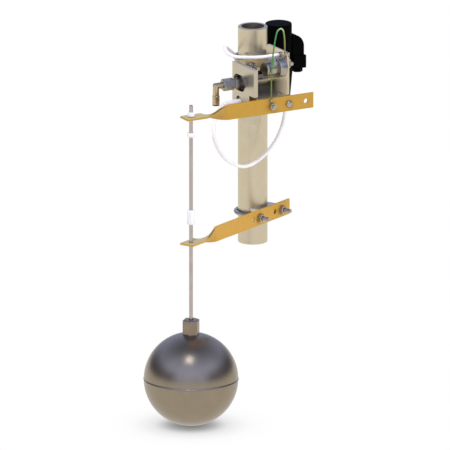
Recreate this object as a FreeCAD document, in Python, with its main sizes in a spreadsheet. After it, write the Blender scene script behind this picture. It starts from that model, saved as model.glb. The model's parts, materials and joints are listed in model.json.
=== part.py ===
import os
from math import acos, asin, atan2, cos, degrees, hypot, pi, radians, sin, sqrt, tan

import FreeCAD
import Part
import Sketcher
from FreeCAD import Placement, Rotation, Vector

# A ball float hangs on a rod and works a yellow lever on a pilot valve, all carried by a stub pipe.
# The frame: origin on the pipe's axis at its lower end, +Z up, +X along the lever away from the float.
# -Y is the side that the lever lies on. All sizes are in millimetres.
# In the housing, a rise counts up from the base block's top unless its comment says otherwise.

SIZES = {
    # stub pipe
    "pipe_diameter": 48.3,
    "pipe_wall": 5.1,
    "pipe_length": 363.0,
    "pipe_chamfer": 0.8,
    # yellow arms, both twisted from the same strip; a tail runs past the pivot or the clamp
    "strip_width": 25.4,
    "strip_thickness": 3.2,
    "ear_overhang": 13.0,
    "twist_start": 24.5,
    "twist_length": 46.5,
    "lever_tail": 45.7,
    "lever_hole_pitch": 32.0,
    "guide_height": 51.6,
    "guide_tail": 55.6,
    "guide_hole_shift": 17.0,
    "ear_hole": 8.8,
    "guide_hole": 7.6,
    "free_hole": 8.0,
    "spare_hole": 8.5,
    # float and rod; the rod's reach is from the pipe's axis
    "rod_diameter": 6.35,
    "rod_reach_x": 188.6,
    "rod_reach_y": 128.6,
    "rod_length": 376.6,
    "rod_above_lever": 21.4,
    "rod_tip": 1.3,
    "rod_tip_diameter": 3.8,
    "rod_thread_depth": 15.0,
    "float_diameter": 154.0,
    "float_wall": 0.9,
    "seam_height": 3.0,
    "seam_depth": 0.7,
    "boss_flats": 25.4,
    "boss_height": 23.2,
    "boss_chamfer": 1.6,
    "collar_diameter": 12.5,
    "collar_height": 7.4,
    "collar_edge": 1.0,
    "collar_play": 0.7,
    "lost_motion": 23.5,
    "sleeve_height": 24.1,
    "sleeve_rise": 32.3,
    # pipe clamps
    "clamp_rod": 6.35,
    "clamp_gap": 3.9,
    "clamp_tail": 19.0,
    "saddle_width": 50.0,
    "saddle_wrap": 12.5,
    "saddle_height": 22.6,
    "guide_saddle_web": 7.45,
    "nut_flats": 11.1,
    "nut_height": 5.6,
    "washer_diameter": 12.7,
    "washer_thickness": 1.6,
    "fit_play": 0.3,
    # housing: plates and base block
    "base_height": 250.0,
    "base_thickness": 27.0,
    "back_plate_gap": 24.85,
    "back_plate_thickness": 6.0,
    "back_plate_right": 37.6,
    "front_plate_left": 69.4,
    "front_plate_thickness": 7.7,
    "rear_plate_face": 2.9,
    "rear_plate_thickness": 3.2,
    "rear_plate_radius": 9.0,
    "plate_drop": 16.0,
    "plate_rise": 49.0,
    "rear_plate_rise": 71.0,
    "clamp_rise": 35.0,
    "slot_inset": 22.7,
    "slot_rise": 17.8,
    "slot_width": 39.0,
    "slot_height": 27.0,
    "port_inset": 21.0,
    "port_lift": 13.4,
    "port_hole": 18.0,
    "port_depth": 14.0,
    "notch_width": 15.3,
    "notch_lift": 6.0,
    "notch_height": 24.4,
    "screw_inset": 10.8,
    "screw_diameter": 10.0,
    "screw_height": 1.6,
    # lever bolts and plunger; a lift counts up from the base block's underside
    "lever_lift": 13.6,
    "pivot_left": 5.9,
    "pivot_diameter": 8.0,
    "pivot_head": 11.4,
    "pivot_head_height": 3.0,
    "pivot_play": 0.05,
    "pivot_washer": 1.0,
    "lug_diameter": 18.0,
    "lug_depth": 12.0,
    "drive_diameter": 6.0,
    "drive_tip": 2.8,
    "plunger_width": 8.0,
    "plunger_depth": 6.0,
    "plunger_height": 14.0,
    "plunger_play": 0.3,
    "plunger_roof": 2.0,
    # air fittings
    "elbow_leg": 9.3,
    "elbow_reach": 12.0,
    "elbow_drop": 15.8,
    "collet_diameter": 12.0,
    "collet_height": 15.0,
    "collet_bore": 6.4,
    "hex_flats": 15.0,
    "hex_length": 24.0,
    "union_flats": 18.0,
    "union_length": 18.0,
    "union_depth": 10.4,
    "supply_diameter": 13.0,
    "stub_diameter": 7.6,
    "stub_reach": 15.2,
    "loop_port_x": 26.4,
    "loop_port_out": 5.0,
    "loop_port_size": 14.0,
    "loop_port_lift": 2.1,
    "loop_collar": 5.0,
    "return_inset": 22.0,
    "return_rise": 63.0,
    "return_length": 4.9,
    # pilot valve
    "pilot_inset": 6.4,
    "pilot_rise": 47.0,
    "pilot_barrel": 23.0,
    "pilot_barrel_length": 22.1,
    "pilot_flange": 33.0,
    "pilot_flange_length": 13.3,
    "pilot_neck": 12.0,
    "pilot_neck_length": 4.5,
    "pilot_stud": 8.0,
    "pilot_tail": 4.0,
    "cap_diameter": 18.0,
    "cap_height": 16.0,
    "cap_offset": 4.1,
    "cap_notch": 3.0,
    "cap_notch_length": 4.5,
    "cap_play": 1.0,
    # solenoid valve
    "coil_x": 58.5,
    "coil_y": 17.9,
    "coil_radius": 21.8,
    "coil_height": 66.0,
    "body_drop": 24.0,
    "body_height": 64.0,
    "body_low_radius": 18.4,
    "body_high_radius": 24.2,
    "valve_port_turn": 120.0,
    "valve_port_reach": 25.9,
    "valve_port_lift": 36.0,
    "bracket_inset": 9.0,
    "bracket_width": 12.0,
    "bracket_height": 32.0,
    "bracket_lift": 16.0,
    "plug_offset": 19.3,
    "plug_depth": 21.0,
    "plug_width": 27.0,
    "plug_drop": 11.0,
    "plug_height": 57.0,
    "plug_foot": 21.0,
    "plug_foot_lip": 2.6,
    "gland_diameter": 15.0,
    "gland_height": 9.0,
    "gland_bore": 7.0,
    # tubes, wire and its two lugs
    "tube_diameter": 6.0,
    "tube_collar": 2.0,
    "wire_diameter": 2.4,
    "lug_thickness": 1.0,
    "lug_disc": 12.0,
    "lug_tongue": 3.6,
    "barrel_diameter": 3.8,
    "barrel_height": 4.8,
    "lever_lug_side": 3.1,
    "lever_lug_out": 3.8,
    "lever_lug_rise": 13.1,
    "plate_lug_out": 2.2,
    "plate_lug_inset": 5.4,
    "plate_lug_drop": 1.3,
    "plate_tab_width": 7.2,
    "plate_tab_height": 9.6,
    "plate_tab_drop": 2.4,
    "lug_screw_diameter": 5.3,
    "lug_screw_height": 2.4,
}

UP = Vector(0, 0, 1)
BACK = Vector(0, 1, 0)
ALONG_X = (1, 0, 0)
ALONG_Y = (0, 1, 0)
DOWN = (0, 0, -1)
TO_FRONT = (0, -1, 0)
HEX_SIDES = 6
HEX_ROLL = 30.0
TWIST_SECTIONS = 7
CORD_TRIM = 0.45

LOOP_TUBE = [
    (-84.7, -76.0, 263.4), (-96.5, -76.0, 263.4), (-114.0, -86.5, 256.0), (-123.5, -88.8, 236.5),
    (-124.0, -88.8, 210.5), (-110.0, -86.0, 183.0), (-88.0, -80.0, 162.0), (-56.0, -71.9, 147.5),
    (-24.0, -67.3, 156.5), (4.0, -63.3, 177.0), (20.0, -61.0, 203.0), (26.4, -60.0, 224.0),
    (26.4, -60.0, 236.0),
]
TOP_TUBE = [
    (-11.1, -104.0, 340.0), (-24.5, -104.0, 340.0), (-36.0, -96.5, 338.0), (-45.0, -82.0, 335.0),
    (-54.5, -64.0, 332.0), (-61.5, -44.0, 330.0), (-63.0, -23.0, 331.5), (-54.5, -3.0, 335.5),
    (-40.0, 17.5, 328.0), (-21.0, 37.5, 315.0), (-1.0, 52.5, 300.0), (16.0, 60.5, 284.5),
    (29.0, 61.5, 269.5), (38.5, 52.5, 262.0), (45.5, 40.4, 262.0),
]
EARTH_WIRE = [
    (-41.0, -134.0, 277.0), (-41.4, -134.1, 296.0), (-40.8, -133.9, 319.0), (-38.8, -133.2, 340.0),
    (-35.8, -132.0, 359.0), (-32.0, -130.6, 374.5), (-28.4, -129.2, 386.0), (-22.9, -127.2, 390.6),
    (-16.6, -124.8, 390.2), (-12.0, -123.0, 385.4), (-9.8, -122.2, 373.4), (-8.3, -120.6, 358.0),
    (-8.3, -120.6, 347.0),
]


def fill_sheet():
    sheet = doc.addObject("Spreadsheet::Sheet", "sizes")
    for row, (name, value) in enumerate(SIZES.items(), start=1):
        sheet.set("A%d" % row, name)
        sheet.set("B%d" % row, str(value))
        sheet.setAlias("B%d" % row, name)
    doc.recompute()
    return sheet


def size(name):
    return float(sheet.get(name))


def bind(piece, expressions):
    for prop, text in expressions.items():
        piece.setExpression(prop, text)
    return piece


def aimed(base, axis):
    return Placement(Vector(*base), Rotation(UP, Vector(*axis)))


def cylinder(name, radius, height, base, axis=(0, 0, 1)):
    piece = doc.addObject("Part::Cylinder", name)
    bind(piece, {"Radius": radius, "Height": height})
    piece.Placement = aimed(base, axis)
    return piece


def cone(name, radius_low, radius_high, height, base):
    piece = doc.addObject("Part::Cone", name)
    bind(piece, {"Radius1": radius_low, "Radius2": radius_high, "Height": height})
    piece.Placement.Base = Vector(*base)
    return piece


def sphere(name, radius, centre):
    piece = doc.addObject("Part::Sphere", name)
    bind(piece, {"Radius": radius})
    piece.Placement.Base = Vector(*centre)
    return piece


def box(name, length, width, height, corner):
    piece = doc.addObject("Part::Box", name)
    bind(piece, {"Length": length, "Width": width, "Height": height})
    piece.Placement.Base = Vector(*corner)
    return piece


def hexagon(name, flats, height, base, axis=(0, 0, 1), roll=0.0):
    piece = doc.addObject("Part::Prism", name)
    piece.Polygon = HEX_SIDES
    bind(piece, {"Circumradius": "%s / sqrt(3)" % flats, "Height": height})
    aim = aimed(base, axis)
    piece.Placement = Placement(aim.Base, aim.Rotation.multiply(Rotation(UP, roll)))
    return piece


def cut(label, base, tools):
    tool = tools[0]
    if len(tools) > 1:
        tool = doc.addObject("Part::MultiFuse", label + "_tools")
        tool.Shapes = tools
    piece = doc.addObject("Part::Cut", label)
    piece.Base = base
    piece.Tool = tool
    return piece


def fuse(label, shapes):
    piece = doc.addObject("Part::MultiFuse", label)
    piece.Shapes = shapes
    piece.Refine = True
    return piece


def group(label, shapes):
    piece = doc.addObject("Part::Compound", label)
    piece.Links = shapes
    return piece


def meet(label, shapes):
    piece = doc.addObject("Part::MultiCommon", label)
    piece.Shapes = shapes
    return piece


def solid(label, shape):
    piece = doc.addObject("Part::Feature", label)
    piece.Shape = shape
    return piece


def sketched_body(label, role, draw):
    body = doc.addObject("PartDesign::Body", label)
    sketch = body.newObject("Sketcher::SketchObject", label + "_outline")
    plane = [plane for plane in body.Origin.OriginFeatures if plane.Role == role][0]
    sketch.AttachmentSupport = [(plane, "")]
    sketch.MapMode = "FlatFace"
    draw(sketch)
    return body, sketch


def padded_body(label, role, draw, length, base):
    body, sketch = sketched_body(label, role, draw)
    pad = body.newObject("PartDesign::Pad", label + "_pad")
    pad.Profile = sketch
    pad.setExpression("Length", length)
    body.Placement.Base = Vector(*base)
    sketch.Visibility = False
    return body


def draw_circle(sketch, radius, x, y):
    index = sketch.addGeometry(Part.Circle(Vector(x, y, 0), UP, 1.0), False)
    held = sketch.addConstraint(Sketcher.Constraint("Radius", index, 1.0))
    sketch.setExpression("Constraints[%d]" % held, radius)


def draw_line(sketch, start, end):
    sketch.addGeometry(Part.LineSegment(Vector(*start, 0), Vector(*end, 0)), False)


def draw_arc(sketch, start, middle, end):
    sketch.addGeometry(Part.Arc(Vector(*start, 0), Vector(*middle, 0), Vector(*end, 0)), False)


def draw_loop(sketch, corners):
    for start, end in zip(corners, corners[1:] + corners[:1]):
        draw_line(sketch, start, end)


def draw_slot(sketch, centre_y, centre_z, width, height):
    radius = height / 2
    left = centre_y - width / 2 + radius
    right = centre_y + width / 2 - radius
    high = centre_z + radius
    low = centre_z - radius
    draw_line(sketch, (left, low), (right, low))
    draw_line(sketch, (right, high), (left, high))
    draw_arc(sketch, (left, high), (left - radius, centre_z), (left, low))
    draw_arc(sketch, (right, low), (right + radius, centre_z), (right, high))


doc = FreeCAD.newDocument("level_controller")
sheet = fill_sheet()

# Places worked out from the driving sizes
pipe_radius = size("pipe_diameter") / 2
rod_x = -size("rod_reach_x")
rod_y = -size("rod_reach_y")
base_low = size("base_height")
base_top = base_low + size("base_thickness")
lever_z = base_low + size("lever_lift")
guide_z = size("guide_height")
rod_top = lever_z + size("rod_above_lever")
rod_low = rod_top - size("rod_length")
boss_low = rod_low + size("rod_thread_depth") - size("boss_height")
float_z = boss_low - size("float_diameter") / 2
pivot_x = -size("pivot_left")
drive_x = pivot_x - size("lever_hole_pitch")
pivot_along = pivot_x - rod_x
blade_front = rod_y - size("strip_thickness") / 2
blade_back = rod_y + size("strip_thickness") / 2
housing_front = blade_back + size("pivot_washer")
plate_back = -pipe_radius - size("back_plate_gap")
plate_front = plate_back - size("back_plate_thickness")
front_outer = -size("front_plate_left")
front_inner = front_outer + size("front_plate_thickness")
rear_inner = -size("rear_plate_face") - size("rear_plate_thickness")
plate_low = base_low - size("plate_drop")
plate_high = base_top + size("plate_rise")
slot_y = plate_front - size("slot_inset")
slot_z = base_top + size("slot_rise")
port_y = plate_front - size("port_inset")
port_z = base_low + size("port_lift")
union_right = front_outer + size("union_depth")
union_left = union_right - size("union_length")
hex_left = union_left - size("hex_length")
elbow_x = hex_left - size("elbow_reach")
pilot_y = housing_front + size("pilot_inset")
pilot_z = base_top + size("pilot_rise")
flange_right = rear_inner - size("pilot_neck_length")
flange_left = flange_right - size("pilot_flange_length")
body_low = base_low - size("body_drop")
coil_low = body_low + size("body_height")
plug_left = size("coil_x") + size("plug_offset")
plug_low = coil_low - size("plug_drop")

# The guide arm starts at the rod and passes the pipe at the depth of its saddle
guide_offset = pipe_radius + size("guide_saddle_web") + size("strip_thickness") / 2
rod_reach = hypot(rod_x, rod_y)
guide_turn = degrees(atan2(-rod_y, -rod_x) - asin(guide_offset / rod_reach))
guide_mid = sqrt(rod_reach ** 2 - guide_offset ** 2)
guide_front = guide_offset + size("strip_thickness") / 2
clamp_half = pipe_radius + size("clamp_rod") / 2 + size("clamp_gap")

# Lengths that several pieces share, as expressions over the sheet
BASE_DEPTH = (
    "(sizes.rod_reach_y - sizes.strip_thickness / 2 - sizes.pivot_washer - sizes.pipe_diameter / 2"
    " - sizes.back_plate_gap - sizes.back_plate_thickness)"
)
INNER_LENGTH = "(sizes.front_plate_left - sizes.front_plate_thickness)"
REAR_REACH = "(sizes.rear_plate_face + sizes.rear_plate_thickness)"
BOSS_BLANK_HEIGHT = "(sizes.boss_height + 2 * sizes.boss_chamfer)"
TUBE_END_RADIUS = "(sizes.tube_diameter / 2 + sizes.tube_collar)"


# Stub pipe

def make_pipe():
    inner = pipe_radius - size("pipe_wall")
    top = size("pipe_length")
    bevel = size("pipe_chamfer")
    edge = pipe_radius - bevel
    section = [
        (inner, 0), (edge, 0), (pipe_radius, bevel), (pipe_radius, top - bevel), (edge, top), (inner, top),
    ]
    body, sketch = sketched_body("mast_pipe", "XZ_Plane", lambda sketch: draw_loop(sketch, section))
    turned = body.newObject("PartDesign::Revolution", "pipe_turned")
    turned.Profile = sketch
    turned.ReferenceAxis = (sketch, ["V_Axis"])
    turned.Angle = 360
    return body


# Twisted arms: flat ear at the rod, quarter twist, upright blade

def strip_section(along, turn):
    half_width = size("strip_width") / 2
    half_depth = size("strip_thickness") / 2
    corners = [
        (-half_width, -half_depth), (half_width, -half_depth),
        (half_width, half_depth), (-half_width, half_depth),
    ]
    points = [
        Vector(along, y * cos(turn) + z * sin(turn), z * cos(turn) - y * sin(turn)) for y, z in corners
    ]
    return Part.makePolygon(points + points[:1])


def twisted_strip(length):
    width = size("strip_width")
    thickness = size("strip_thickness")
    start = size("twist_start")
    twist = size("twist_length")
    overhang = size("ear_overhang")
    ear = Part.makeBox(overhang + start, width, thickness, Vector(-overhang, -width / 2, -thickness / 2))
    steps = [step / (TWIST_SECTIONS - 1) for step in range(TWIST_SECTIONS)]
    sections = [strip_section(start + twist * step, pi / 2 * step) for step in steps]
    middle = Part.makeLoft(sections, True, False)
    blade_start = start + twist
    blade_corner = Vector(blade_start, -thickness / 2, -width / 2)
    blade = Part.makeBox(length - blade_start, thickness, width, blade_corner)
    return ear.fuse([middle, blade])


def drilled_strip(length, ear_bore, blade_bores):
    depth = size("strip_width")
    tools = [Part.makeCylinder(ear_bore / 2, depth, Vector(0, 0, -depth / 2), UP)]
    for along, bore in blade_bores:
        tools.append(Part.makeCylinder(bore / 2, depth, Vector(along, -depth / 2, 0), BACK))
    return twisted_strip(length).cut(tools)


def make_lever():
    pitch = size("lever_hole_pitch")
    running = size("pivot_diameter") + 2 * size("pivot_play")
    bores = [
        (pivot_along - pitch, size("drive_diameter")),
        (pivot_along, running),
        (pivot_along + pitch, size("free_hole")),
    ]
    length = pivot_along + size("lever_tail")
    arm = solid("lever_arm", drilled_strip(length, size("ear_hole"), bores))
    arm.Placement.Base = Vector(rod_x, rod_y, lever_z)
    return arm


def make_guide_arm():
    clamp_bore = size("clamp_rod") + 2 * size("fit_play")
    shift = size("guide_hole_shift")
    spare = size("spare_hole")
    bores = []
    for middle in (guide_mid - clamp_half, guide_mid + clamp_half):
        bores += [(middle, clamp_bore), (middle - shift, spare)]
    length = guide_mid + size("guide_tail")
    arm = solid("guide_arm", drilled_strip(length, size("guide_hole"), bores))
    arm.Placement = Placement(Vector(rod_x, rod_y, guide_z), Rotation(UP, guide_turn))
    return arm


# Pipe clamps: a saddle block in front of the pipe and a U-bolt round its back

def clamp_frame(height, turn):
    return Placement(Vector(0, 0, height), Rotation(UP, turn))


def make_saddle(label, height, turn, web):
    depth = "sizes.pipe_diameter / 2 + sizes.%s - sizes.saddle_wrap" % web
    blank = box(label + "_blank", "sizes.saddle_width", depth, "sizes.saddle_height", (0, 0, 0))
    corner = Vector(-size("saddle_width") / 2, -pipe_radius - size(web), -size("saddle_height") / 2)
    blank.Placement = clamp_frame(height, turn).multiply(Placement(corner, Rotation()))
    pipe = cylinder(label + "_seat", "sizes.pipe_diameter / 2", "sizes.pipe_length", (0, 0, 0))
    return cut(label, blank, [pipe])


def make_u_bolt(label, height, turn, front):
    rod = size("clamp_rod") / 2
    centre = rod + pipe_radius - clamp_half
    tail = front + size("clamp_tail")
    corners = [Vector(side * clamp_half, y, 0) for side in (-1, 1) for y in (-tail, centre)]
    left_end, left_top, right_end, right_top = corners
    crown = Vector(0, clamp_half + centre, 0)
    legs = [Part.LineSegment(left_end, left_top), Part.LineSegment(right_top, right_end)]
    bend = Part.Arc(left_top, crown, right_top)
    path = Part.Wire([legs[0].toShape(), bend.toShape(), legs[1].toShape()])
    profile = Part.Wire([Part.Circle(left_end, BACK, rod).toShape()])
    bolt = solid(label, path.makePipeShell([profile], True, False))
    bolt.Placement = clamp_frame(height, turn)
    return bolt


def clamp_hardware(label, height, turn, front, make_outside):
    thickness = "sizes.washer_thickness" if label.endswith("washers") else "sizes.nut_height"
    pieces = []
    for side, word in ((-1, "left"), (1, "right")):
        name = "%s_%s" % (label, word)
        outside = make_outside(name + "_outside")
        hole = cylinder(name + "_hole", "sizes.clamp_rod / 2", thickness, (0, 0, 0))
        seat = Placement(Vector(side * clamp_half, -front, 0), Rotation(UP, Vector(*TO_FRONT)))
        outside.Placement = clamp_frame(height, turn).multiply(seat)
        hole.Placement = outside.Placement
        pieces.append(cut(name, outside, [hole]))
    return group(label, pieces)


def washer_blank(name):
    return cylinder(name, "sizes.washer_diameter / 2", "sizes.washer_thickness", (0, 0, 0))


def nut_blank(name):
    return hexagon(name, "sizes.nut_flats", "sizes.nut_height", (0, 0, 0))


def make_clamp(prefix, height, turn, web, front):
    nut_front = front + size("washer_thickness")
    return [
        make_saddle(prefix + "_saddle", height, turn, web),
        make_u_bolt(prefix + "_u_bolt", height, turn, front),
        clamp_hardware(prefix + "_washers", height, turn, front, washer_blank),
        clamp_hardware(prefix + "_nuts", height, turn, nut_front, nut_blank),
    ]


# Float, rod and the white collars on it

def make_float():
    centre = (rod_x, rod_y, float_z)
    ball = sphere("float_skin", "sizes.float_diameter / 2", centre)
    seam_base = (rod_x, rod_y, float_z - size("seam_height") / 2)
    seam_radius = "sizes.float_diameter / 2 + sizes.seam_depth"
    seam = cylinder("float_seam", seam_radius, "sizes.seam_height", seam_base)
    hollow = sphere("float_hollow", "sizes.float_diameter / 2 - sizes.float_wall", centre)
    return cut("float_ball", fuse("float_outside", [ball, seam]), [hollow])


def make_boss():
    base = (rod_x, rod_y, boss_low - 2 * size("boss_chamfer"))
    blank = hexagon("boss_blank", "sizes.boss_flats", BOSS_BLANK_HEIGHT, base)
    corner = "sizes.boss_flats / sqrt(3)"
    wide = "%s + %s / 2" % (corner, BOSS_BLANK_HEIGHT)
    bevel = cone("boss_bevel", wide, "%s - sizes.boss_chamfer" % corner, BOSS_BLANK_HEIGHT, base)
    ball = sphere("boss_seat", "sizes.float_diameter / 2", (rod_x, rod_y, float_z))
    socket = cylinder("boss_socket", "sizes.rod_diameter / 2", "sizes.boss_height", (rod_x, rod_y, rod_low))
    return cut("float_boss", meet("boss_bevelled", [blank, bevel]), [ball, socket])


def make_rod():
    base = (rod_x, rod_y, rod_low)
    tip_base = (rod_x, rod_y, rod_top - size("rod_tip"))
    shaft = cylinder("rod_shaft", "sizes.rod_diameter / 2", "sizes.rod_length - sizes.rod_tip", base)
    tip = cone("rod_point", "sizes.rod_diameter / 2", "sizes.rod_tip_diameter / 2", "sizes.rod_tip", tip_base)
    return fuse("float_rod", [shaft, tip])


def make_collar(label, bottom, height_name):
    edge = size("collar_edge")
    height = "sizes.%s" % height_name
    top = bottom + size(height_name)
    wide = "sizes.collar_diameter / 2"
    narrow = "sizes.collar_diameter / 2 - sizes.collar_edge"
    foot = cone(label + "_foot", narrow, wide, "sizes.collar_edge", (rod_x, rod_y, bottom))
    middle_height = "%s - 2 * sizes.collar_edge" % height
    middle = cylinder(label + "_middle", wide, middle_height, (rod_x, rod_y, bottom + edge))
    head = cone(label + "_head", wide, narrow, "sizes.collar_edge", (rod_x, rod_y, top - edge))
    bore = cylinder(label + "_bore", "sizes.rod_diameter / 2", height, (rod_x, rod_y, bottom))
    return cut(label, fuse(label + "_outside", [foot, middle, head]), [bore])


def make_collars():
    half = size("strip_thickness") / 2
    top_bottom = lever_z + half + size("collar_play")
    lift_bottom = lever_z - half - size("lost_motion") - size("collar_height")
    return [
        make_collar("top_collar", top_bottom, "collar_height"),
        make_collar("lift_collar", lift_bottom, "collar_height"),
        make_collar("stop_sleeve", guide_z + size("sleeve_rise"), "sleeve_height"),
    ]


# Housing plates and base block

def make_front_plate():
    notch_side = housing_front + size("notch_width")
    notch_low = base_low + size("notch_lift")
    notch_high = notch_low + size("notch_height")
    corners = [
        (plate_front, plate_low), (plate_front, plate_high), (housing_front, plate_high),
        (housing_front, notch_high), (notch_side, notch_high), (notch_side, notch_low),
        (housing_front, notch_low), (housing_front, plate_low),
    ]

    def outline(sketch):
        draw_loop(sketch, corners)
        draw_slot(sketch, slot_y, slot_z, size("slot_width"), size("slot_height"))
        draw_circle(sketch, "sizes.port_hole / 2", port_y, port_z)

    return padded_body("front_plate", "YZ_Plane", outline, "sizes.front_plate_thickness", (front_outer, 0, 0))


def make_rear_plate():
    top = base_top + size("rear_plate_rise")
    radius = size("rear_plate_radius")
    slant = radius * (1 - sqrt(0.5))
    near = housing_front
    far = plate_front

    def outline(sketch):
        draw_line(sketch, (near + radius, top), (far - radius, top))
        draw_arc(sketch, (far - radius, top), (far - slant, top - slant), (far, top - radius))
        draw_line(sketch, (far, top - radius), (far, base_top))
        draw_line(sketch, (far, base_top), (near, base_top))
        draw_line(sketch, (near, base_top), (near, top - radius))
        draw_arc(sketch, (near, top - radius), (near + slant, top - slant), (near + radius, top))
        draw_circle(sketch, "sizes.pilot_stud / 2", pilot_y, pilot_z)

    return padded_body("rear_plate", "YZ_Plane", outline, "sizes.rear_plate_thickness", (rear_inner, 0, 0))


def make_back_plate():
    length = "sizes.back_plate_right + %s" % INNER_LENGTH
    height = "sizes.plate_drop + sizes.base_thickness + sizes.plate_rise"
    corner = (front_inner, plate_front, plate_low)
    blank = box("back_blank", length, "sizes.back_plate_thickness", height, corner)
    bore = "sizes.clamp_rod / 2 + sizes.fit_play"
    holes = []
    for side, word in ((-1, "left"), (1, "right")):
        base = (side * clamp_half, plate_front, base_top + size("clamp_rise"))
        holes.append(cylinder("back_hole_" + word, bore, "sizes.back_plate_thickness", base, ALONG_Y))
    return cut("back_plate", blank, holes)


def make_base():
    length = "%s - sizes.rear_plate_face" % INNER_LENGTH
    corner = (front_inner, housing_front, base_low)
    block = box("base_blank", length, BASE_DEPTH, "sizes.base_thickness", corner)
    pivot = (pivot_x, housing_front, lever_z)
    lug = cylinder("base_lug", "sizes.lug_diameter / 2", "sizes.lug_depth", pivot, ALONG_Y)
    bore = cylinder("base_pivot_bore", "sizes.pivot_diameter / 2", "sizes.lug_depth", pivot, ALONG_Y)
    pocket_side = drive_x - size("plunger_width") / 2 - size("plunger_play")
    pocket = box(
        "base_pocket",
        "sizes.plunger_width + 2 * sizes.plunger_play",
        "sizes.plunger_depth + 2 * sizes.plunger_play",
        "sizes.base_thickness - sizes.plunger_play - sizes.plunger_roof",
        (pocket_side, housing_front, base_low),
    )
    port_base = (front_inner, port_y, port_z)
    port = cylinder("base_port", "sizes.stub_diameter / 2", "sizes.port_depth", port_base, ALONG_X)
    return cut("base_block", fuse("base_body", [block, lug]), [bore, pocket, port])


def make_base_screw():
    inset = size("screw_inset")
    base = (rear_inner - inset, housing_front + inset, base_top)
    return cylinder("base_screw", "sizes.screw_diameter / 2", "sizes.screw_height", base)


# Lever bolts, plunger and earth terminals

def make_pivot():
    head_base = (pivot_x, blade_front - 2 * size("pivot_play"), lever_z)
    shank_length = "sizes.lug_depth + sizes.pivot_washer + sizes.strip_thickness + 2 * sizes.pivot_play"
    shank = cylinder("pivot_shank", "sizes.pivot_diameter / 2", shank_length, head_base, ALONG_Y)
    head = cylinder("pivot_head_disc", "sizes.pivot_head / 2", "sizes.pivot_head_height", head_base, TO_FRONT)
    return fuse("pivot_bolt", [shank, head])


def make_pivot_washer():
    base = (pivot_x, blade_back + size("pivot_play"), lever_z)
    thick = "sizes.pivot_washer - sizes.pivot_play"
    disc = cylinder("spacer_disc", "sizes.washer_diameter / 2", thick, base, ALONG_Y)
    hole = cylinder("spacer_hole", "sizes.pivot_diameter / 2", thick, base, ALONG_Y)
    return cut("pivot_washer", disc, [hole])


def make_drive_bolt():
    start = blade_front - size("lug_thickness") - size("nut_height") - size("drive_tip")
    length = (
        "sizes.drive_tip + sizes.nut_height + sizes.lug_thickness + sizes.strip_thickness"
        " + sizes.pivot_washer + sizes.plunger_depth"
    )
    return cylinder("drive_bolt", "sizes.drive_diameter / 2", length, (drive_x, start, lever_z), ALONG_Y)


def make_drive_nut():
    face = (drive_x, blade_front - size("lug_thickness"), lever_z)
    blank = hexagon("drive_nut_blank", "sizes.nut_flats", "sizes.nut_height", face, TO_FRONT)
    hole = cylinder("drive_nut_hole", "sizes.drive_diameter / 2", "sizes.nut_height", face, TO_FRONT)
    return cut("drive_nut", blank, [hole])


def make_lever_lug():
    face = (drive_x, blade_front, lever_z)
    disc = cylinder("lever_lug_disc", "sizes.lug_disc / 2", "sizes.lug_thickness", face, TO_FRONT)
    hole = cylinder("lever_lug_hole", "sizes.drive_diameter / 2", "sizes.lug_thickness", face, TO_FRONT)
    x = drive_x - size("lever_lug_side")
    y = blade_front - size("lever_lug_out")
    low = lever_z + size("lever_lug_rise") - size("barrel_height")
    side = x - size("lug_tongue") / 2
    tongue_height = "sizes.lever_lug_rise - sizes.barrel_height + sizes.wire_diameter"
    tongue_corner = (side, blade_front - size("lug_thickness"), lever_z)
    tongue = box("lever_lug_tongue", "sizes.lug_tongue", "sizes.lug_thickness", tongue_height, tongue_corner)
    reach = "sizes.lever_lug_out"
    bridge = box("lever_lug_bridge", "sizes.lug_tongue", reach, "sizes.wire_diameter", (side, y, low))
    barrel = cylinder("lever_lug_barrel", "sizes.barrel_diameter / 2", "sizes.barrel_height", (x, y, low))
    return cut("lever_earth_lug", fuse("lever_lug_body", [disc, tongue, bridge, barrel]), [hole])


def make_plunger():
    corner = (
        drive_x - size("plunger_width") / 2,
        housing_front + size("plunger_play"),
        lever_z - size("plunger_height") / 2,
    )
    blank = box("plunger_blank", "sizes.plunger_width", "sizes.plunger_depth", "sizes.plunger_height", corner)
    bore_radius = "sizes.drive_diameter / 2 + sizes.plunger_play"
    bore_base = (drive_x, housing_front, lever_z)
    bore = cylinder("plunger_bore", bore_radius, "sizes.plunger_depth * 2", bore_base, ALONG_Y)
    return cut("valve_plunger", blank, [bore])


def make_plate_lug():
    y = housing_front + size("plate_lug_inset")
    high = base_top + size("rear_plate_rise") - size("plate_lug_drop")
    base = (rear_inner - size("plate_lug_out"), y, high - size("barrel_height"))
    barrel = cylinder("plate_lug_barrel", "sizes.barrel_diameter / 2", "sizes.barrel_height", base)
    tab_low = high - size("plate_tab_drop") - size("plate_tab_height")
    corner = (rear_inner - size("lug_thickness"), y - size("plate_tab_width") / 2, tab_low)
    tab_height = "sizes.plate_tab_height"
    tab = box("plate_lug_tab", "sizes.lug_thickness", "sizes.plate_tab_width", tab_height, corner)
    screw_z = tab_low + size("plate_tab_height") / 4
    screw_base = (rear_inner - size("lug_thickness"), y, screw_z)
    screw = cylinder(
        "earth_screw", "sizes.lug_screw_diameter / 2", "sizes.lug_screw_height", screw_base, (-1, 0, 0)
    )
    return [fuse("plate_earth_lug", [barrel, tab]), screw]


# Air fittings

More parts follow.
